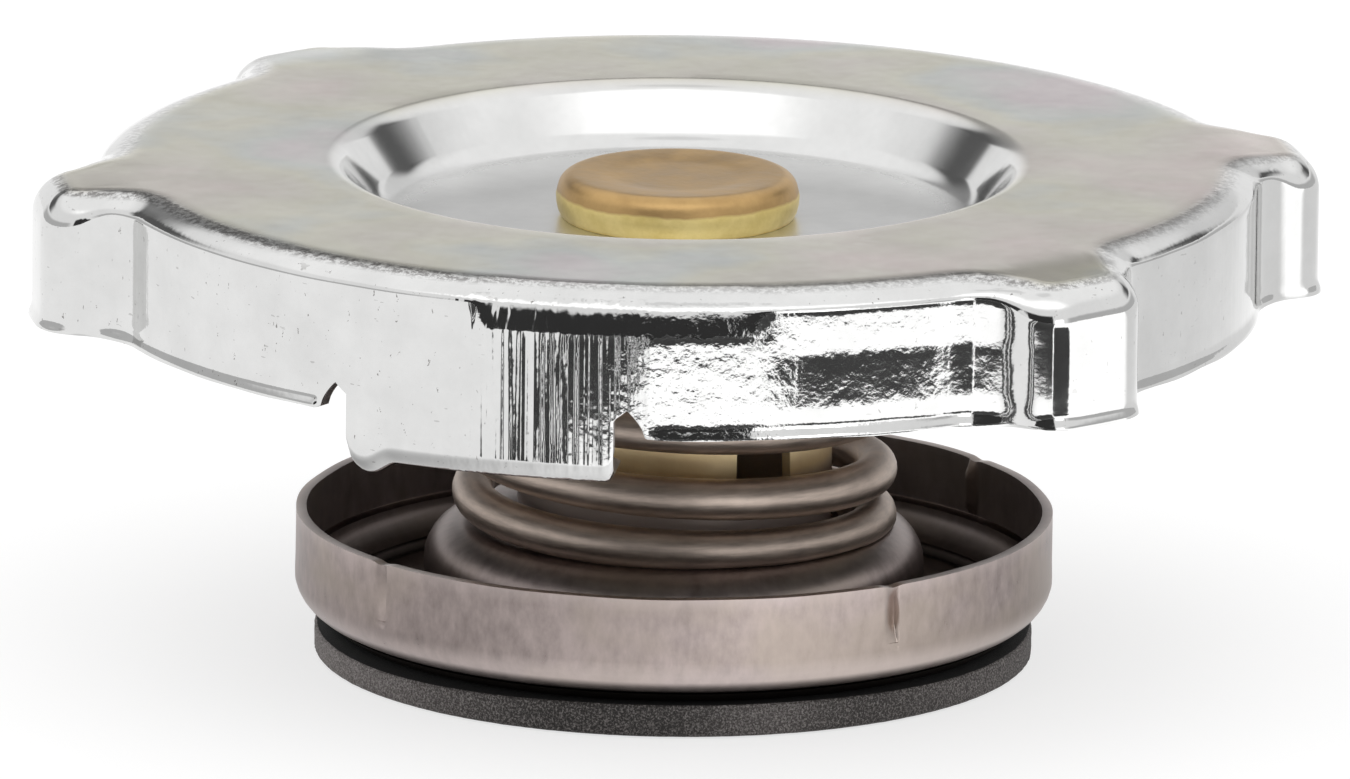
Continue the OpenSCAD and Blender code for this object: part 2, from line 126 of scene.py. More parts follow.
def make_piece(name, verts, faces, material, body, replaced, sharp):
    """Mesh piece from millimetre vertices, riding on a body in place of a CAD node.

    Edges that turn by more than sharp degrees stay sharp, and 0 leaves all of them smooth.
    """
    mesh = bpy.data.meshes.new(name)
    mesh.from_pydata([tuple(v) for v in np.asarray(verts, float) * MM], [], [tuple(f) for f in faces])
    mesh.polygons.foreach_set("use_smooth", [True] * len(mesh.polygons))
    if sharp:
        mesh.set_sharp_from_angle(angle=math.radians(sharp))
    mesh.materials.append(material)
    obj = bpy.data.objects.new(name, mesh)
    bpy.context.scene.collection.objects.link(obj)
    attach(obj, body)
    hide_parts(replaced)
    return obj


def add_layers(obj, **layers):
    """One value per vertex under each name, for the materials to read."""
    for name, values in layers.items():
        layer = obj.data.attributes.new(name, "FLOAT", "POINT")
        layer.data.foreach_set("value", np.asarray(values, float).tolist())


def thicken(obj, thickness, offset):
    """Modifier that turns a surface into sheet metal."""
    solid = obj.modifiers.new("sheet", "SOLIDIFY")
    solid.thickness = thickness * MM
    solid.offset = offset
    solid.use_even_offset = True
    return solid


def bent_line(path, radii, steps=8):
    """Centre-line points and headings of a sheet bent at the inner points of a path."""
    path = [np.array(p, float) for p in path]
    head = [math.atan2(*(path[i + 1] - path[i])[::-1]) for i in range(len(path) - 1)]
    line = [(path[0], head[0])]
    for i in range(1, len(path) - 1):
        turn = (head[i] - head[i - 1] + math.pi) % (2 * math.pi) - math.pi
        side, r = math.copysign(1, turn), radii[i - 1]
        start = path[i] - polar(r * math.tan(abs(turn) / 2), head[i - 1])
        centre = start + side * r * np.array([-math.sin(head[i - 1]), math.cos(head[i - 1])])
        for k in range(steps + 1):
            h = head[i - 1] + turn * k / steps
            line.append((centre - side * r * np.array([-math.sin(h), math.cos(h)]), h))
    line.append((path[-1], head[-1]))
    return line


def sheet_side(line, offset):
    """Points of a bent line moved sideways to its left by offset."""
    return [p + offset * np.array([-math.sin(h), math.cos(h)]) for p, h in line]


def dense(points, step):
    """Points along a polyline, with none further apart than step."""
    out = [np.asarray(points[0], float)]
    for p, q in zip(points[:-1], points[1:]):
        p, q = np.asarray(p, float), np.asarray(q, float)
        n = max(1, int(math.ceil(np.linalg.norm(q - p) / step)))
        out += [p + (q - p) * k / n for k in range(1, n + 1)]
    return out


def even_angles(count):
    return np.linspace(0, 2 * math.pi, count, endpoint=False)


def lathe(profile, angles, closed=True):
    """Vertices and quads of a profile turned about Z; closed joins the profile's ends."""
    n, segments = len(profile), len(angles)
    prof = np.array(profile, float)
    verts = np.stack([np.outer(np.cos(angles), prof[:, 0]), np.outer(np.sin(angles), prof[:, 0]),
                      np.tile(prof[:, 1], (segments, 1))], axis=2).reshape(-1, 3)
    faces = []
    for j in range(segments):
        a, b = j * n, (j + 1) % segments * n
        for i in range(n if closed else n - 1):
            k = (i + 1) % n
            faces.append((a + i, b + i, b + k, a + k))
    return verts, faces


# Materials

class Nodes:
    """Short ways to add shader nodes to a tree."""

    def __init__(self, tree):
        self.tree = tree

    def add(self, kind, **values):
        node = self.tree.nodes.new(kind)
        for key, value in values.items():
            setattr(node, key, value)
        return node

    def feed(self, socket, value):
        """Give an input a plain value or a link."""
        if isinstance(value, (int, float, tuple)):
            socket.default_value = value
        else:
            self.tree.links.new(value, socket)

    def math(self, op, *values):
        node = self.add("ShaderNodeMath", operation=op)
        for socket, value in zip(node.inputs, values):
            self.feed(socket, value)
        return node.outputs[0]

    def plus(self, first, *others):
        for value in others:
            first = self.math("ADD", first, value)
        return first

    def times(self, first, *others):
        for value in others:
            first = self.math("MULTIPLY", first, value)
        return first

    def minus(self, a, b):
        return self.math("SUBTRACT", a, b)

    def rest(self, value):
        return self.minus(1, value)

    def dimmed(self, value, where, share):
        """A value that loses a share of itself where a mask is 1."""
        return self.times(value, self.rest(self.times(where, share)))

    def step(self, value, start, end, low=0.0, high=1.0):
        """Smooth step from low at start to high at end."""
        node = self.add("ShaderNodeMapRange", interpolation_type="SMOOTHSTEP")
        self.feed(node.inputs["Value"], value)
        for key, number in (("From Min", start), ("From Max", end), ("To Min", low), ("To Max", high)):
            node.inputs[key].default_value = number
        return node.outputs["Result"]

    def band(self, value, rise, fall):
        """Smooth step up over one span and down again over another."""
        return self.times(self.step(value, *rise), self.rest(self.step(value, *fall)))

    def along(self, vector, direction):
        """How far a vector reaches in a direction."""
        node = self.add("ShaderNodeVectorMath", operation="DOT_PRODUCT")
        self.feed(node.inputs[0], vector)
        self.feed(node.inputs[1], direction)
        return node.outputs["Value"]

    def length(self, vector):
        node = self.add("ShaderNodeVectorMath", operation="LENGTH")
        self.feed(node.inputs[0], vector)
        return node.outputs["Value"]


class Surface(Nodes):
    """Nodes of a new material round its Principled shader."""

    def __init__(self, name):
        self.material = bpy.data.materials.new(name)
        self.material.use_nodes = True
        super().__init__(self.material.node_tree)
        self.shader = self.tree.nodes["Principled BSDF"]

    def set(self, **values):
        """Plain values or links for the shader's inputs."""
        for key, value in values.items():
            self.feed(self.shader.inputs[key.replace("_", " ")], value)

    def coords(self, scale=(1, 1, 1)):
        mapping = self.add("ShaderNodeMapping")
        self.feed(mapping.inputs["Scale"], scale)
        self.feed(mapping.inputs["Vector"], self.add("ShaderNodeTexCoord").outputs["Object"])
        return mapping.outputs["Vector"]

    def noise(self, vector, scale, detail, rough):
        node = self.add("ShaderNodeTexNoise")
        for key, value in (("Vector", vector), ("Scale", scale), ("Detail", detail), ("Roughness", rough)):
            self.feed(node.inputs[key], value)
        return node.outputs["Fac"]

    def ramp(self, value, stops):
        """Colours in between those given at some values."""
        node = self.add("ShaderNodeValToRGB")
        while len(node.color_ramp.elements) < len(stops):
            node.color_ramp.elements.new(0.5)
        for element, (position, color) in zip(node.color_ramp.elements, stops):
            element.position = position
            element.color = (*color, 1)
        self.feed(node.inputs["Fac"], value)
        return node.outputs["Color"]

    def mask(self, value, start, end):
        """Straight rise from 0 at start to 1 at end."""
        return self.ramp(value, [(start, (0, 0, 0)), (end, (1, 1, 1))])

    def mix(self, share, a, b):
        node = self.add("ShaderNodeMix", data_type="RGBA")
        self.feed(node.inputs[0], share)
        for socket, color in ((node.inputs[6], a), (node.inputs[7], b)):
            self.feed(socket, (*color, 1) if isinstance(color, tuple) else color)
        return node.outputs[2]

    def attribute(self, name):
        return self.add("ShaderNodeAttribute", attribute_name=name).outputs["Fac"]

    def bump(self, height, strength, distance):
        node = self.add("ShaderNodeBump")
        for key, value in (("Strength", strength), ("Distance", distance), ("Height", height)):
            self.feed(node.inputs[key], value)
        self.set(Normal=node.outputs["Normal"])


def plated_material():
    """Bright zinc: a mirror-like side with fine streaks and specks, and a satin top with a coloured film."""
    m = Surface("plated_steel")
    flat = m.coords()
    top = m.attribute("top")

    pale = m.ramp(m.noise(flat, 260, 5, 0.65), [(0.30, (0.65, 0.65, 0.645)), (0.70, (0.73, 0.73, 0.725))])
    specks = m.math("GREATER_THAN", m.noise(m.coords((1, 1, 0.5)), 2600, 3, 0.8), 0.682)
    ticks = m.math("GREATER_THAN", m.noise(m.coords((0.3, 0.3, 1)), 2600, 2, 0.6), 0.715)
    marks = m.times(m.math("MAXIMUM", specks, m.times(ticks, 0.4)), m.attribute("worn"))
    side = m.mix(m.times(marks, 0.8), pale, (0.14, 0.13, 0.12))

    film = m.ramp(m.noise(flat, 48, 3, 0.55), [
        (0.30, (0.67, 0.54, 0.515)), (0.41, (0.63, 0.58, 0.50)), (0.49, (0.64, 0.615, 0.48)),
        (0.57, (0.55, 0.58, 0.55)), (0.67, (0.65, 0.56, 0.585))])
    cloud = m.ramp(m.noise(flat, 150, 4, 0.7), [(0.34, (0.34, 0.33, 0.33)), (0.66, (0.72, 0.71, 0.69))])
    wash = m.mix(0.28, film, cloud)
    scuff = m.times(m.attribute("scuff"), m.mask(m.noise(flat, 2100, 4, 0.8), 0.42, 0.56))
    color = m.mix(scuff, m.mix(top, side, wash), (0.07, 0.06, 0.055))

    grain = m.noise(flat, 900, 3, 0.6)
    rough = m.plus(m.times(top, 0.17), m.times(grain, 0.06), m.times(m.attribute("satin"), 0.26), 0.03)
    m.set(Metallic=1.0, Base_Color=color, Roughness=rough)

    upright = m.noise(m.coords((1, 1, 0.02)), 2300, 1, 0.5)
    streaks = m.plus(upright, m.times(m.noise(flat, 1900, 1, 0.5), 0.13))
    peel = m.plus(m.times(m.noise(flat, 3000, 3, 0.6), 0.25), m.times(m.noise(flat, 760, 3, 0.5), 1.15))
    height = m.plus(m.times(streaks, m.attribute("streak")), m.times(peel, m.attribute("peel")))
    m.bump(height, 0.8, 0.00008)
    return m.material


def steel_material(name, color, dark, rough, streak_scale, grime=None, stretch=9, stain=None, cloud=0.6):
    """Steel with fine lines and clouds. On a piece that has layers for them, the shade colour, if given,
    paints shade into hollows and shadow under ledges, along with a paler painted sheen.
    """
    m = Surface(name)
    lines = m.noise(m.coords((1, 1, stretch)), streak_scale, 4, 0.6)
    blots = m.noise(m.coords((1, 1, 1.6)), 110, 5, 0.65)
    blend = m.plus(m.times(lines, 0.5), m.times(blots, cloud), (0.6 - cloud) / 2)
    tone = m.ramp(blend, [(0.38, dark), (0.66, color)])
    if stain:
        patches = m.mask(m.noise(m.coords((1, 1, 1.5)), 75, 3, 0.6), 0.50, 0.62)
        tone = m.mix(m.times(patches, 0.55), tone, stain)
    dull = m.plus(m.times(lines, 0.18), rough)
    if grime:
        # Painted sheen: paler colour on the cup's lower wall and along its rim
        tone = m.mix(m.attribute("rub"), tone, (0.80, 0.70, 0.67))
        # Painted shade: near-black colour in the cup's hollows and painted shadow under its ledge, which also
        # roughens it
        shade_mask = m.attribute("grime")
        tone = m.mix(shade_mask, tone, grime)
        dull = m.plus(dull, m.times(shade_mask, 0.25))
    m.set(Metallic=1.0, Base_Color=tone, Roughness=dull)
    m.bump(lines, 0.15, 0.0001)
    return m.material


def brass_material(name, color, dark, rough, scale, foot=None, metal=1.0):
    """Blotched brass; foot is the colour of a stain, on a piece that has a layer for it."""
    m = Surface(name)
    blots = m.noise(m.coords(), scale, 5, 0.6)
    tone = m.ramp(blots, [(0.38, dark), (0.62, color)])
    if foot:
        tone = m.mix(m.attribute("foot"), tone, foot)
    m.set(Metallic=metal, Base_Color=tone, Roughness=m.plus(m.times(blots, 0.2), rough))
    m.bump(m.noise(m.coords(), 1400, 2, 0.5), 0.12, 0.0001)
    return m.material


def rivet_material():
    """Brass with a brown, tarnished top and a yellower side."""
    m = Surface("rivet_brass")
    flat = m.coords()
    blots = m.noise(flat, 420, 5, 0.65)
    brown = m.ramp(blots, [(0.32, (0.42, 0.27, 0.115)), (0.66, (0.54, 0.355, 0.155))])
    yellow = m.ramp(blots, [(0.32, (0.66, 0.51, 0.18)), (0.66, (0.86, 0.70, 0.30))])
    edge = m.plus(m.attribute("tarnish"), m.times(m.minus(blots, 0.5), 0.9))
    color = m.mix(m.mask(edge, 0.35, 0.65), yellow, brown)
    m.set(Metallic=1.0, Base_Color=color, Roughness=m.plus(m.times(blots, 0.25), 0.24))
    m.bump(m.noise(flat, 1300, 3, 0.6), 0.25, 0.0001)
    return m.material


def rubber_material(name, color, fleck, dust=None):
    """Grainy rubber. On a piece that has layers for them, a paler colour, if given, is painted light, and
    near-black is painted shade.
    """
    m = Surface(name)
    grains = m.noise(m.coords(), 8600, 3, 0.75)
    tone = m.ramp(grains, [(0.48, color), (0.68, fleck)])
    if dust:
        # Painted light: a paler tone where light falls
        lit_tone = m.ramp(grains, [(0.42, dust), (0.64, (0.42, 0.39, 0.38))])
        tone = m.mix(m.attribute("dust"), tone, lit_tone)
        tone = m.mix(m.attribute("shade"), tone, (0.003, 0.003, 0.003))
    m.set(Roughness=0.75, Base_Color=tone)
    m.bump(grains, 0.5, 0.00012)
    return m.material


plated = plated_material()
cut_edge = steel_material("cut_edge", (0.72, 0.71, 0.70), (0.45, 0.44, 0.43), 0.26, 420)
cup_steel = steel_material("cup_steel", (0.53, 0.445, 0.425), (0.30, 0.25, 0.238), 0.22, 1300,
                           grime=(0.03, 0.025, 0.022), stretch=0.5, stain=(0.46, 0.39, 0.33), cloud=0.3)
spring_steel = steel_material("spring_steel", (0.72, 0.605, 0.525), (0.40, 0.33, 0.285), 0.37, 420)
disc_steel = steel_material("spring_sheet", (0.55, 0.53, 0.48), (0.42, 0.40, 0.37), 0.28, 260)
rivet_brass = rivet_material()
cage_brass = brass_material("cage_brass", (0.98, 0.79, 0.46), (0.86, 0.66, 0.36), 0.24, 260,
                            foot=(0.62, 0.54, 0.50), metal=0.4)
retainer_brass = brass_material("retainer_brass", (0.62, 0.47, 0.20), (0.46, 0.33, 0.13), 0.28, 240)
gasket_rubber = rubber_material("gasket_rubber", (0.012, 0.010, 0.009), (0.25, 0.23, 0.22),
                                dust=(0.12, 0.105, 0.10))
seal_rubber = rubber_material("seal_rubber", (0.020, 0.020, 0.020), (0.06, 0.06, 0.06))


# Shell: one sheet surface over columns round its outline, given its thickness at the end

# Flattened edge of the rim, which is narrower and deeper on the ears
EDGE_W, EDGE_H, EAR_EDGE_CUT, EAR_EDGE_DROP = 2.8, 1.15, 0.5, 1.1
EAR_DROOP = 0.35

# Uneven skirt: a wave all round, part of which shows as a bulge, and a flare at its bottom
SWAY, SWAY_BULGE, FLARE, FLARE_H = 0.02, 0.4, 0.2, 0.75

# Heights where a column's lower rows and a tab start, and a tab's outer bend
LOW_Z, TAB_ROOT_Z, TAB_BEND_R = SKIRT_BOTTOM + 1.9, SKIRT_BOTTOM + 0.95, 1.2

NOTCH_ANGLE = NOTCH_LEN / SKIRT_R
TAB_LEN = 2 * TAB_HALF * SKIRT_R

# Rows of a column on the flat top, the edge, the skirt, its lower part, a tab, its bend and its lip
TOP_ROWS, EDGE_ROWS, SIDE_ROWS, LOW_ROWS, TAB_ROWS, BEND_ROWS, LIP_ROWS = 9, 16, 17, 8, 8, 6, 4

# Place and outward normal of a column, its zone, and how far in mm it lies along its stretch of the skirt
Spot = namedtuple("Spot", "at normal zone along")


class Sheet:
    """Vertices and quads of the shell's outer face; top is 1 on its satin top and 0 on its bright side."""

    def __init__(self):
        self.verts, self.top, self.faces = [], [], []

    def put(self, xy, z, top=0.0):
        self.verts.append((xy[0], xy[1], z))
        self.top.append(float(top))
        return len(self.verts) - 1

    def join(self, a, b):
        """Quads between two columns."""
        self.faces += [(a[i + 1], b[i + 1], b[i], a[i]) for i in range(len(a) - 1)]


def ear_arcs():
    """Centres and angles of an ear's corner and fillet circles, for an ear on +X."""
    at_c, at_f = EAR_TIP_R - EAR_CORNER_R, SKIRT_R + EAR_ROOT_R
    gap = EAR_CORNER_R + EAR_ROOT_R
    fillet = EAR_TIP_ANGLE + math.acos((at_c ** 2 + at_f ** 2 - gap ** 2) / (2 * at_c * at_f))
    c, f = polar(at_c, EAR_TIP_ANGLE), polar(at_f, fillet)
    return c, f, fillet, math.atan2(f[1] - c[1], f[0] - c[0])


CORNER_C, FILLET_C, FILLET_ANGLE, TOUCH = ear_arcs()


def half_ear():
    """Points and normals from an ear's tip to the skirt, for an ear on +X."""
    tip = np.linspace(0, EAR_TIP_ANGLE, 4)[:-1]
    corner = np.linspace(EAR_TIP_ANGLE, TOUCH, 13)[:-1]
    fillet = np.linspace(TOUCH, FILLET_ANGLE, 15)
    out = [(polar(EAR_TIP_R, t), polar(1, t)) for t in tip]
    out += [(CORNER_C + polar(EAR_CORNER_R, t), polar(1, t)) for t in corner]
    out += [(FILLET_C + polar(EAR_ROOT_R, t + math.pi), polar(1, t)) for t in fillet]
    return out


def tab_spans(start, end, side_columns, tab_columns, notch_columns=14):
    """Stretches of the skirt between two ears with a tab and its two notches in their middle."""
    mid = (start + end) / 2
    a, b = mid - TAB_HALF, mid + TAB_HALF
    return [(start, a - NOTCH_ANGLE, side_columns, "plain"), (a - NOTCH_ANGLE, a, notch_columns, "notch_a"),
            (a, b, tab_columns, "tab"), (b, b + NOTCH_ANGLE, notch_columns, "notch_b"),
            (b + NOTCH_ANGLE, end, side_columns, "plain")]


def outline_spots():
    """Spots of all columns round the shell; the front tab, which the photo shows, has the most."""
    half = half_ear()
    ear = [((p[0], -p[1]), (n[0], -n[1])) for p, n in half[:0:-1]] + half
    ends = EAR_ANGLES[1:] + [EAR_ANGLES[0] + 2 * math.pi]
    spots = []
    for k, (angle, following) in enumerate(zip(EAR_ANGLES, ends)):
        spots += [Spot(turned(p, angle), turned(n, angle), "plain", 0.0) for p, n in ear]
        start, end = angle + FILLET_ANGLE, following - FILLET_ANGLE
        back, front = tab_spans(start, end, 18, 28), tab_spans(start, end, 40, 64)
        side = [(start, end, 26, "plain")]
        for s0, s1, columns, zone in (back, side, front, side)[k]:
            for t in np.linspace(s0, s1, columns + 1)[1:]:
                spots.append(Spot(polar(SKIRT_R, t), polar(1, t), zone, (t - s0) * SKIRT_R))
        spots.pop()
    return spots


def dish_profile():
    """Radius and height of the shell's upper face, from under the rivet to the flat top."""
    mid = SHELL_T / 2
    floor, rim, flat = DISH_FLOOR_Z - mid, SHELL_TOP - mid, DISH_MOUTH_R + 1.6
    path = [(SHANK_R + 0.1, floor), (DISH_FLOOR_R, floor), (DISH_MOUTH_R, rim), (flat, rim)]
    return dense(sheet_side(bent_line(path, [2.4, 1.0]), mid), 2.5)


def notch_height(x):
    """Height of a notch above the skirt's edge; x runs from 0 at the skirt to 1 at the tab."""
    start, crest, height, fall = 0.14, 0.58, 1.65, 0.6
    x = max(0.0, x - start) / (1 - start)
    if x < crest:
        return height * (x / crest) ** 0.6
    return height - fall * ((x - crest) / (1 - crest)) ** 0.9


def corner_rise(radius, inward):
    """Height of a rounded corner's edge at a distance in from its side."""
    left = radius - min(inward, radius)
    return radius - math.sqrt(max(radius ** 2 - left ** 2, 0.0))


def tab_foot(along):
    """Height of a tab's bottom along its width: a lead-in at its start and rounded corners."""
    lead, lead_start, lead_end = 0.75, 1.2, 3.0
    dip = lead * (1 - float(smooth(lead_start, lead_end, along)))
    return TAB_BOTTOM - dip + corner_rise(1.1, along) + corner_rise(0.5, TAB_LEN - along)


def skirt_wave(view, z):
    """Small bulge of the skirt in mm; view is the angle in degrees from the side that the camera sees."""
    lean_foot, shoulder, brow_foot, brow = 21, 26.5, 25.6, 28.2
    lean = 0.045 * band((-6, -2), (7, 11), view) * (min(z, shoulder) - lean_foot)
    over = max(z - shoulder, 0)
    roll = band((-21, -18.5), (6.5, 9.5), view) * (0.12 + 0.065 * over) * over
    step = 0.055 * smooth(lean_foot, lean_foot + 1.6, z) + 0.05 * max(min(z, brow) - brow_foot, 0)
    bulge = lean - roll + band((7, 11), (30, 36), view) * step
    return float(bulge * smooth(SKIRT_BOTTOM, SKIRT_BOTTOM + 0.9, z))


def ear_droop(at):
    """How far the flat top has fallen at a point, which happens only out on the ears."""
    return EAR_DROOP * float(smooth(SKIRT_R - 1.5, EAR_TIP_R - 1, np.hypot(*at)))


def skirt_sway():
    """Uneven wave of the skirt in mm, as a function of the angle."""
    rng = np.random.default_rng(7)
    waves = [(rng.uniform(0.2, 1), rng.integers(3, 40), rng.uniform(0, 6.28)) for _ in range(14)]
    return lambda angle: SWAY * sum(size * math.sin(count * angle + start) for size, count, start in waves)


def skirt_edge(spot, wave):
    """Height of the skirt's lower edge, or of the top of a tab."""
    if spot.zone == "tab":
        return TAB_ROOT_Z
    if spot.zone == "plain":
        return SKIRT_BOTTOM + wave
    x = spot.along / NOTCH_LEN
    return SKIRT_BOTTOM + notch_height(x if spot.zone == "notch_a" else 1 - x)


def shell_column(sheet, spot, dish, sway):
    """Column of vertices from under the rivet, over the rim and down to the skirt's edge."""
    at, normal = spot.at, spot.normal
    az, distance = math.atan2(at[1], at[0]), np.hypot(*at)
    ray, wave, view = polar(1, az), sway(az), turn_from(CAM_SIDE_DEG, math.degrees(az))
    edge_w = EDGE_W - EAR_EDGE_CUT * float(smooth(SKIRT_R, SKIRT_R + 1.5, distance))
    edge_h = EDGE_H + EAR_EDGE_DROP * float(smooth(SKIRT_R + 0.3, EAR_TIP_R - 0.2, distance))

    def bulge(z):
        return wave * SWAY_BULGE + skirt_wave(view, z)

    column = [sheet.put(r * ray, z, smooth(19.2, 20.6, r)) for r, z in dish]
    inner, outer = dish[-1][0] * ray, at - edge_w * normal
    for t in 1 - np.linspace(1, 0, TOP_ROWS + 1)[1:] ** 1.6:
        place = inner + (outer - inner) * t
        column.append(sheet.put(place, SHELL_TOP - ear_droop(place), 1.0))
    brow = SHELL_TOP - ear_droop(outer)
    for t in np.linspace(0, math.pi / 2, EDGE_ROWS + 1)[1:]:
        z = brow - edge_h * (1 - math.cos(t))
        inward = edge_w * (1 - math.sin(t)) - bulge(z) * math.sin(t)
        column.append(sheet.put(at - inward * normal, z, 1 - smooth(0.1, 0.5, math.sin(t))))
    for z in np.linspace(brow - edge_h, LOW_Z, SIDE_ROWS + 1)[1:]:
        column.append(sheet.put(at + bulge(z) * normal, z))
    flare = FLARE * smooth(0.45, 0.95, normal @ ray) if spot.zone == "plain" else 0.0
    for z in np.linspace(LOW_Z, skirt_edge(spot, wave), LOW_ROWS + 1)[1:]:
        outward = flare * smooth(SKIRT_BOTTOM + FLARE_H, SKIRT_BOTTOM, z) + bulge(z)
        column.append(sheet.put(at + outward * normal, z))
    return column


def tab_column(sheet, spot, column):
    """Column that runs on below the skirt, round a bend and inward along a tab's lip."""
    foot = tab_foot(spot.along if spot.zone == "tab" else 0.0)
    start, normal = np.array(sheet.verts[column[-1]][:2]), spot.normal
    down = [column[-1]]
    down += [sheet.put(start, z) for z in np.linspace(TAB_ROOT_Z, foot + TAB_BEND_R, TAB_ROWS + 1)[1:]]
    for t in np.linspace(0, math.pi / 2, BEND_ROWS + 1)[1:]:
        inward, rise = TAB_BEND_R * (1 - math.cos(t)), TAB_BEND_R * (1 - math.sin(t))
        down.append(sheet.put(start - inward * normal, foot + rise))
    for inward in np.linspace(TAB_BEND_R, SKIRT_R - TAB_TIP_R, LIP_ROWS + 1)[1:]:
        down.append(sheet.put(start - inward * normal, foot))
    return down


def shell_layers(verts, top):
    """Where the plated sheet is streaked, grainy, satin, worn and scuffed; az is in degrees."""
    radius, az, z = round_places(verts)
    beyond = radius > 28
    outer = (1 - top) * beyond * (z < 28.6)
    lines = 0.1 + 0.9 * band((264, 269), (284, 290), az) * (1 - 0.75 * peak(275, 0.9, az))
    grainy = 0.04 + 0.8 * band((282, 287), (296, 304), az) + 0.22 * band((296, 304), (318, 326), az)
    rubbed = band((190, 200), (262, 272), az) + 0.5 * smooth(262, 272, az)
    fall = SHELL_TOP - np.array([ear_droop(v[:2]) for v in verts]) - z
    brow = band((0.01, 0.05), (0.16, 0.3), fall) * beyond
    brow_wear = 0.35 + 0.4 * band((195, 215), (262, 285), az) + 0.3 * band((316, 322), (328, 336), az)
    crest = peak(28.4, 0.5, z) * beyond
    floor = (1 - smooth(15.6, 17.6, radius)) * (z > 24)
    wall = band((16.6, 17.6), (20, 21), radius)
    return {"top": top, "streak": outer * lines,
            "peel": (0.03 + outer * grainy + 0.25 * brow) * (radius > 22),
            "satin": floor + 0.16 * wall,
            "worn": np.clip(outer * rubbed + crest, 0, 1), "scuff": brow * brow_wear}


def build_shell():
    sheet, dish, sway = Sheet(), dish_profile(), skirt_sway()
    spots = outline_spots()
    columns = [shell_column(sheet, spot, dish, sway) for spot in spots]
    for a, b in zip(columns, columns[1:] + columns[:1]):
        sheet.join(a, b)
    tabs = {}
    for j, (spot, following) in enumerate(zip(spots, spots[1:] + spots[:1])):
        if "tab" in (spot.zone, following.zone):
            tabs[j] = tab_column(sheet, spot, columns[j])
    for j in tabs:
        if j + 1 in tabs:
            sheet.join(tabs[j], tabs[j + 1])
    obj = make_piece("shell_sheet", sheet.verts, sheet.faces, plated, "shell", "cap_shell", sharp=0)
    add_layers(obj, **shell_layers(np.array(sheet.verts), np.array(sheet.top)))
    obj.data.materials.append(cut_edge)
    thicken(obj, SHELL_T, -1).material_offset_rim = 1
    edges = obj.modifiers.new("edges", "BEVEL")
    edges.width = 0.15 * MM
    edges.segments = 2
    edges.limit_method = "ANGLE"
    edges.angle_limit = math.radians(55)
    obj.modifiers.new("normals", "WEIGHTED_NORMAL")


# Rivet, cup, gasket, cage and springs

def build_rivet():
    """Rivet head with a shallow hollow, a rounded shoulder and a slightly barrelled side."""
    top, seat, clinch_z = DISH_FLOOR_Z + HEAD_H, DISH_FLOOR_Z + 0.01, CAGE_UNDER - CLINCH_H
    hollow, shoulder_r, shoulder_at = 0.2, 0.95, 6.0
    face = [(0.0, hollow), (2.2, hollow), (3.6, hollow * 0.9), (4.6, hollow * 0.35), (5.4, 0.02)]
    for t in np.linspace(0.05, 1.4, 10):
        face.append((shoulder_at + shoulder_r * math.sin(t), shoulder_r * (1 - math.cos(t))))
    face += [(HEAD_R - inset, depth) for inset, depth in ((0, 1.25), (0.03, 1.7), (0.12, 2.1))]
    prof = [(r, top - depth) for r, depth in face]
    prof += [(HEAD_R - 0.32, seat), (SHANK_R, seat), (SHANK_R, CAGE_UNDER), (CLINCH_R, CAGE_UNDER)]
    prof += [(CLINCH_R, clinch_z), (0.0, clinch_z)]
    verts, faces = lathe(dense(prof, 0.5), even_angles(180), closed=False)
    obj = make_piece("rivet_body", verts, faces, rivet_brass, "core", "centre_rivet", sharp=50)
    add_layers(obj, tarnish=smooth(top - 1.35, top - 0.75, verts[:, 2]))


# Nicks in the cup's wall: their angles in degrees, and half the stretch that has closer columns
NICKS = [325 + 90 * k + shift for k, shift in enumerate((0, 0, 0, 5))]
NICK_STRETCH = 3.2
NICK_DEPTH, NICK_SAG = 0.36, 0.12

# Fine step low on the cup's wall: its heights, how far the wall above stands back, and its rows' gap
STEP_Z0, STEP_Z1, STEP_IN, STEP_ROW = 4.1, 5.0, 0.06, 0.1

# Uneven rim and wall of the cup
CUP_WAVE = 0.02


def cup_loop():
    """Loop round the cup's sheet: in along the side that faces the channel and back along the other."""
    mid = CUP_T / 2
    wall, ledge, seat, dome = CUP_R - mid, GASKET_T + LEDGE_GAP + mid, GASKET_T + mid, DOME_R - mid
    path = [(wall, CUP_RIM_Z), (wall, ledge), (LEDGE_R, ledge), (SEAT_R, seat), (dome, seat)]
    path += [(dome, DOME_Z - mid), (DOME_HOLE_R, DOME_Z - mid)]
    line = bent_line(path, CUP_BENDS)
    left, right = dense(sheet_side(line, mid), 0.8), dense(sheet_side(line, -mid), 0.45)
    k = next(i for i, q in enumerate(right) if q[1] < STEP_Z1)
    heights = np.arange(STEP_Z1 - 0.02, right[k][1] + STEP_ROW / 2, -STEP_ROW)
    right[k:k] = [np.array([CUP_R, z]) for z in heights]
    return left + right[::-1]


def cup_angles():
    """Angles of the cup's columns, which lie closer together at each nick."""
    angles = []
    for k, nick in enumerate(NICKS):
        middle = NICKS[0] + 90 * k
        a, b = nick - NICK_STRETCH, nick + NICK_STRETCH
        angles += [np.linspace(middle - 45, a, 40, endpoint=False), np.linspace(a, b, 41)]
        angles.append(np.linspace(b, middle + 45, 41)[1:-1])
    return np.radians(np.concatenate(angles))


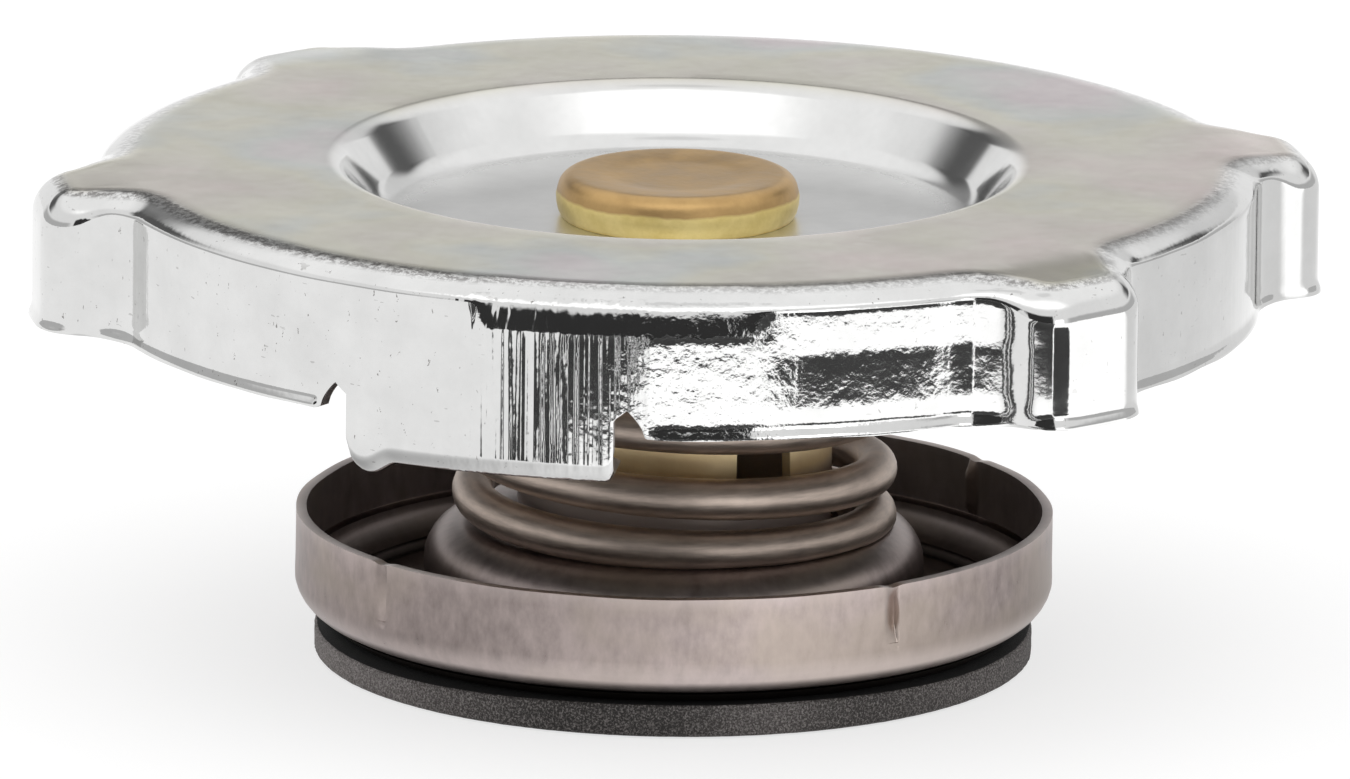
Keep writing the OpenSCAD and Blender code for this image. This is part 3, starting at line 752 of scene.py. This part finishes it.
def wear_cup(verts):
    """Press the nicks and the step into a round cup, and make its rim uneven."""
    r, az, z = round_places(verts)
    wall = (r > 21) & (z > 3.5)
    rng = np.random.default_rng(5)
    waves = sum(rng.uniform(0.2, 1) * np.sin(np.radians(az) * k + rng.uniform(0, 6.28))
                for k in (2, 3, 5, 7, 11, 17))
    for nick in NICKS:
        # A nick is a punched flap: its face leans in towards one upright edge and ends at a step below
        off = np.radians(turn_from(nick, az)) * CUP_R
        flap = band((-0.62, 0.36), (0.36, 0.48), off) * band((5.3, 5.5), (7.5, 8.4), z)
        move_out(verts, r, -NICK_DEPTH * flap * wall)
        verts[:, 2] -= NICK_SAG * peak(0, 0.5, off) * (z > 8.0)
    move_out(verts, r, -STEP_IN * smooth(STEP_Z0, STEP_Z1, z) * (r > 20.5))
    verts[:, 2] += CUP_WAVE * waves * smooth(7.4, 8.3, z) * wall
    move_out(verts, r, CUP_WAVE * waves * smooth(4.5, 8.4, z) * wall)


def build_cup():
    verts, faces = lathe(cup_loop(), cup_angles())
    r, _, z = round_places(verts)
    wear_cup(verts)
    obj = make_piece("cup_sheet", verts, faces, cup_steel, "pressure_valve", "valve_cup", sharp=50)
    # Painted shade inside the cup, less on the dome, and painted shadow under its ledge
    inside_shade = (0.2 + 0.3 * smooth(14.0, 15.5, r)) * (1 - smooth(21.3, 21.6, r))
    under = (r > 19.5) * (1 - smooth(2.5, 2.75, z))
    # Painted sheen on the lower wall and a painted highlight along the rim's top
    low = band((2.5, 2.8), (3.9, 4.6), z) * (r > 20.5)
    rim = smooth(8.1, 8.3, z) * (r > 21.3)
    add_layers(obj, grime=np.clip(inside_shade + under, 0, 1), rub=0.34 * low + 0.22 * rim)


def build_gasket():
    """Rubber ring with a recess below, cut edges, and a top edge that is sunk at its two sides, with painted
    light there and painted shade on the top face inside its outer edge.
    """
    chamfer, sunk_at, roughness = 0.12, 200, 0.012
    rim = GASKET_R - chamfer
    prof = [(GASKET_IN_R, GASKET_T), (GASKET_IN_R, RECESS_H), (RECESS_R, RECESS_H), (RECESS_R, 0.0)]
    prof += [(rim, 0.0), (GASKET_R, chamfer), (GASKET_R, GASKET_T - chamfer), (rim, GASKET_T)]
    prof += [(rim - 0.05, GASKET_T)]
    verts, faces = lathe(dense(prof + prof[:1], 0.5)[:-1], even_angles(360))
    r, az, z = round_places(verts)
    move_out(verts, r, np.random.default_rng(3).normal(0, roughness, len(verts)) * (r > 20))
    off = turn_from(sunk_at, az)
    aside = np.abs(off)
    sunk = 0.38 * (1 - smooth(30, 85, aside)) + 0.2 * smooth(105, 150, aside)
    verts[:, 2] -= sunk * smooth(19.9, 20.7, r) * smooth(0.4, GASKET_T, z)
    obj = make_piece("gasket_ring", verts, faces, gasket_rubber, "pressure_valve", "lower_gasket", sharp=50)
    # Painted light: paler tone on the two sides of the top edge, where light falls
    dusty = (1 - smooth(15, 75, aside)) + 0.3 * smooth(110, 150, aside) + 0.4 * peak(106, 10, off)
    hidden = (r < rim - 0.03) * (verts[:, 2] > 1.2)
    add_layers(obj, dust=dusty * smooth(20.6, 20.7, r), shade=hidden)


def cage_profile(mid_r):
    """Radius and height of the cage's sheet, from its closed top down its wall to its flange."""
    wall_z0, wall_z1 = 9.0, 22.6
    top, foot = CAGE_UNDER + CAGE_T / 2, DOME_Z - CUP_T - CAGE_T / 2
    rows = np.concatenate([np.linspace(wall_z0, WINDOW_Z0, 4), np.linspace(WINDOW_Z0, WINDOW_Z1, 14)[1:],
                           np.linspace(WINDOW_Z1, wall_z1, 4)[1:]])
    head = bent_line([(SHANK_R, top), (mid_r, top), (mid_r, wall_z1)], [1.0], 6)
    tail = bent_line([(mid_r, wall_z0), (mid_r, foot), (CAGE_FLANGE_R, foot)], [0.6], 6)
    wall = [(mid_r, z) for z in rows[::-1]]
    return [tuple(p) for p, _ in head[:-1]] + wall + [tuple(p) for p, _ in tail[1:]]


def build_cage():
    """Brass tube with tapered windows, a closed top and a flange at its foot."""
    mid_r = CAGE_R - CAGE_T / 2
    prof = cage_profile(mid_r)
    rows, sector, across = len(prof), 44, 12
    columns = WINDOWS * sector
    pitch = 2 * math.pi / WINDOWS
    verts, faces = [], []
    for j in range(columns):
        window, k = divmod(j, sector)
        for r, z in prof:
            rise = min(max((z - WINDOW_Z0) / (WINDOW_Z1 - WINDOW_Z0), 0), 1)
            half = (WINDOW_W0 + (WINDOW_W1 - WINDOW_W0) * rise) / 2 / CAGE_R
            if k <= across:
                angle = -half + 2 * half * k / across
            else:
                angle = half + (pitch - 2 * half) * (k - across) / (sector - across)
            verts.append((*polar(r, angle + WINDOW_ANGLE + window * pitch), z))
    for j in range(columns):
        a, b = j * rows, (j + 1) % columns * rows
        for i in range(rows - 1):
            z = (prof[i][1] + prof[i + 1][1]) / 2
            if j % sector < across and WINDOW_Z0 < z < WINDOW_Z1 and abs(prof[i][0] - mid_r) < 0.01:
                continue
            faces.append((a + i, a + i + 1, b + i + 1, b + i))
    obj = make_piece("cage_tube", verts, faces, cage_brass, "core", "spring_cage", sharp=0)
    thicken(obj, CAGE_T, 0)
    obj.modifiers.new("split", "EDGE_SPLIT").split_angle = math.radians(50)
    add_layers(obj, foot=1 - smooth(11.0, 12.2, np.array(verts)[:, 2]))


def coil(mean_r, d, z0, z1, turns, start, direction, sides, steps_per_turn):
    """Vertices and quads of a spring with closed, ground ends; direction is -1 for a left-handed one."""
    sink, rise = 0.05 * d, d + 0.1
    pitch = (z1 - z0 + 2 * sink - 2 * rise) / (turns - 2)
    steps = int(round(turns * steps_per_turn))
    verts = []
    for i in range(steps + 1):
        n = i * turns / steps
        if n < 1:
            up = rise * n
        elif n > turns - 1:
            up = z1 - z0 + 2 * sink - rise * (turns - n)
        else:
            up = rise + pitch * (n - 1)
        a, zc = math.radians(start) + direction * 2 * math.pi * n, z0 - sink + up
        for k in range(sides):
            b = 2 * math.pi * k / sides
            r, z = mean_r + d / 2 * math.cos(b), zc + d / 2 * math.sin(b)
            verts.append((r * math.cos(a), r * math.sin(a), min(max(z, z0), z1)))
    faces = []
    for i in range(steps):
        for k in range(sides):
            a, b = i * sides + k, i * sides + (k + 1) % sides
            quad = (a, a + sides, b + sides, b)
            faces.append(quad if direction > 0 else quad[::-1])
    first, last = tuple(range(sides)), tuple(steps * sides + k for k in range(sides))
    faces += [first[::-1], last] if direction < 0 else [first, last[::-1]]
    return verts, faces


def build_springs():
    """The two springs, drawn at rest, though they shorten with their valves' travel; each has a mesh of its
    own.
    """
    verts, faces = coil(SPRING_R - WIRE_D / 2, WIRE_D, DOME_Z, DISC_UNDER, SPRING_TURNS, SPRING_START,
                        direction=-1, sides=28, steps_per_turn=80)
    main = make_piece("main_coil", verts, faces, spring_steel, "core", "main_spring", sharp=60)
    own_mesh(main)
    verts, faces = coil(VACUUM_COIL_R, VACUUM_WIRE_D, CROWN_Z, CROWN_Z + VACUUM_SPRING_H, VACUUM_TURNS, 0,
                        direction=1, sides=12, steps_per_turn=36)
    light = make_piece("vacuum_coil", verts, faces, spring_steel, "pressure_valve", "vacuum_spring", sharp=60)
    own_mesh(light)


def dress_hidden():
    """Materials of the CAD nodes that stay as they are."""
    looks = {"friction_disc": disc_steel, "upper_seal": seal_rubber, "gasket_retainer": retainer_brass,
             "vacuum_valve": retainer_brass, "vacuum_seal": seal_rubber, "spring_keeper": retainer_brass}
    for name, material in looks.items():
        mesh = nodes[name].data
        mesh.materials.clear()
        mesh.materials.append(material)


build_shell()
build_rivet()
build_cup()
build_gasket()
build_cage()
build_springs()
dress_hidden()


# Camera, fitted to the gasket, the cup's rim and the shell's outline in the photo
CAM_EL, CAM_ROLL = math.radians(13.85), math.radians(0.64)
CAM_DISTANCE, CAM_TARGET = 1.5, Vector((0, 0, 0.015))
PHOTO_W, PHOTO_H, FOCAL_PX = 1350, 779, 25902
TARGET_PX = (675.5, 396.2)
SENSOR_MM = 36


def place_camera():
    back = Vector(FRONT) * math.cos(CAM_EL) + Vector((0, 0, math.sin(CAM_EL)))
    cam = bpy.data.cameras.new("camera")
    cam.sensor_fit = "HORIZONTAL"
    cam.sensor_width = SENSOR_MM
    cam.lens = FOCAL_PX / PHOTO_W * SENSOR_MM
    cam.shift_x = -(TARGET_PX[0] - PHOTO_W / 2) / PHOTO_W
    cam.shift_y = (TARGET_PX[1] - PHOTO_H / 2) / PHOTO_W
    cam.clip_start, cam.clip_end = 0.05, 20
    obj = bpy.data.objects.new("camera", cam)
    bpy.context.scene.collection.objects.link(obj)
    turn = back.to_track_quat("Z", "Y").to_matrix().to_4x4() @ Matrix.Rotation(CAM_ROLL, 4, "Z")
    obj.matrix_world = Matrix.Translation(CAM_TARGET + back * CAM_DISTANCE) @ turn
    bpy.context.scene.camera = obj


# Studio

def around(degrees, r, z):
    """Point at an angle from the camera's side, counted to the right, and a distance from the axis."""
    a = CAM_AZ + math.radians(degrees)
    return (r * math.sin(a), -r * math.cos(a), z)


def stage_mesh(name, points, material):
    """Flat polygon of the studio."""
    mesh = bpy.data.meshes.new(name)
    mesh.from_pydata(points, [], [tuple(range(len(points)))])
    mesh.materials.append(material)
    obj = bpy.data.objects.new(name, mesh)
    bpy.context.scene.collection.objects.link(obj)
    return obj


def sky_level(sky):
    """Brightness of the sky by direction: turn is degrees to the camera's right, and rise degrees up."""
    direction = sky.add("ShaderNodeTexCoord").outputs["Generated"]
    front, right = sky.along(direction, FRONT), sky.along(direction, RIGHT)
    upward = sky.along(direction, (0, 0, 1))
    rise = sky.times(sky.math("ARCSINE", upward), 180 / math.pi)
    turn = sky.times(sky.math("ARCTAN2", right, front), 180 / math.pi)

    # Walls, a brighter ceiling and a soft box above the camera
    walls, ceiling, box = 0.96, 0.16, 0.52
    level = sky.plus(walls, sky.times(sky.step(rise, 33, 44), ceiling))
    above = sky.times(sky.step(front, 0.2, 0.5), sky.step(rise, 38, 48))
    level = sky.plus(level, sky.times(above, box))

    # Dark gap between the back wall and the ceiling, with a pale stretch at its right
    pale = sky.times(sky.step(right, 0.02, 0.22), sky.step(front, -0.66, -0.8), 0.75)
    behind = sky.times(sky.step(front, -0.25, -0.6), sky.rest(pale))
    gap = sky.times(sky.band(rise, (15, 17), (27, 34)), behind)
    level = sky.dimmed(level, gap, sky.minus(0.88, sky.times(sky.step(front, -0.72, -0.9), 0.18)))

    # Dimmer patch straight overhead
    level = sky.minus(level, sky.times(sky.step(rise, 79, 86), 0.22))

    # Dark room in front, dim walls low at both sides, and a lamp low at the right
    room = sky.times(sky.band(turn, (-41, -38), (13.5, 16.5)), sky.rest(sky.step(rise, 18, 24)))
    level = sky.dimmed(level, room, 0.96)
    aside = sky.band(sky.math("ABSOLUTE", turn), (42, 56), (135, 150))
    level = sky.dimmed(level, sky.times(aside, sky.rest(sky.step(rise, 9, 14))), 0.42)
    lamp = sky.times(sky.band(turn, (16, 24), (32, 40)), sky.band(rise, (-3, 0), (7, 12)))
    return sky.plus(level, sky.times(lamp, 2.4))


def build_sky(scene):
    """Soft studio sky, which is plain white to the camera."""
    world = bpy.data.worlds.new("studio")
    scene.world = world
    world.use_nodes = True
    sky = Nodes(world.node_tree)
    level = sky_level(sky)
    seen = sky.add("ShaderNodeLightPath").outputs["Is Camera Ray"]
    background = sky.tree.nodes["Background"]
    sky.feed(background.inputs["Strength"], sky.plus(level, sky.times(seen, sky.rest(level))))
    sky.feed(background.inputs["Color"], (1, 1, 1, 1))


def painted_floor_shading(m):
    """How much darker the table looks in metal, by its place to the right, ahead and out from the axis:
    painted shadow round the object and on the right, less a painted pool of light ahead and to the right.
    """
    place = m.coords()
    across, ahead, reach = m.along(place, RIGHT), m.along(place, FRONT), m.length(m.coords((1, 1, 0)))
    # Painted shade and light in the glow: shadow at the object's sides and to the right, a pool of light
    # ahead and to the right, and a slope from dim left to bright right in front
    facing = m.step(ahead, 0.0, 0.03)
    right_side = m.times(m.step(across, 0.05, 0.12, 0.0, 0.22), m.rest(facing))
    near_shadow = m.times(m.step(reach, 0.03, 0.08, 0.46, 0.0), m.step(m.math("ABSOLUTE", across), 0.008, 0.04))
    light_pool = m.times(facing, m.step(across, -0.03, -0.005), m.step(reach, 0.065, 0.085, 0.0, 0.42))
    slant = m.times(m.step(across, -0.03, 0.024, 0.20, -0.26), m.step(reach, 0.058, 0.08, 1.0, 0.0), facing)
    return m.plus(m.minus(m.plus(right_side, near_shadow), light_pool), slant)


def floor_material():
    """White table that glows a little to the camera and to metal, takes shadows, and is clear from below."""
    m = Surface("floor")
    m.set(Base_Color=(0.85, 0.85, 0.85, 1), Roughness=0.95)
    rays = m.add("ShaderNodeLightPath").outputs
    glossy = rays["Is Glossy Ray"]
    seen = m.math("MAXIMUM", m.math("MAXIMUM", rays["Is Camera Ray"], glossy), rays["Is Transmission Ray"])
    glow, matt = m.add("ShaderNodeEmission"), m.add("ShaderNodeBsdfDiffuse")
    both = m.add("ShaderNodeAddShader")
    m.feed(glow.inputs["Strength"], m.minus(0.66, m.times(painted_floor_shading(m), glossy)))
    m.feed(matt.inputs["Color"], (0.40, 0.40, 0.40, 1))
    m.feed(both.inputs[0], glow.outputs[0])
    m.feed(both.inputs[1], matt.outputs[0])

    def pick(share, a, b):
        node = m.add("ShaderNodeMixShader")
        for socket, value in zip(node.inputs, (share, a, b)):
            m.feed(socket, value)
        return node.outputs[0]

    table = pick(seen, m.shader.outputs[0], both.outputs[0])
    below = m.add("ShaderNodeNewGeometry").outputs["Backfacing"]
    clear = m.add("ShaderNodeBsdfTransparent").outputs[0]
    m.feed(m.tree.nodes["Material Output"].inputs["Surface"], pick(below, table, clear))
    return m.material


def card_rings():
    """Outlines of the black cards on the table, as angles and distances, by name."""
    near, far = 0.08, 1.9
    rings = {"front_card": [(-14, 0.117), (-11, 0.117), (5, 0.122), (18, 0.124), (18, far), (-14, far)],
             "side_card": [(20, 0.119), (34, 0.118), (44, 0.121), (49, 0.129), (49, 0.143), (44, 0.19),
                           (34, 0.2), (20, 0.2)]}
    for k, (a, b) in enumerate([(-27.6, -23.0), (-21.4, -18.4), (-16.8, -14.0)]):
        rings[f"strip_{k}"] = [(a, near), (b, near), (b, far), (a, far)]
    return rings


def build_studio():
    """Sky, white table, and black cards on it that only metal sees."""
    scene = bpy.context.scene
    scene.view_settings.view_transform = "Standard"
    build_sky(scene)
    half, table_z, card_z = 2.0, -0.0001, 0.0005
    corners = [(-half, -half, table_z), (half, -half, table_z), (half, half, table_z), (-half, half, table_z)]
    stage_mesh("floor", corners, floor_material())
    black = Surface("black_card")
    black.set(Base_Color=(0.01, 0.01, 0.01, 1), Roughness=0.9)
    for name, ring in card_rings().items():
        card = stage_mesh(name, [around(degrees, r, card_z) for degrees, r in ring], black.material)
        card.visible_camera = False
        card.visible_diffuse = False
        card.visible_shadow = False


place_camera()
build_studio()
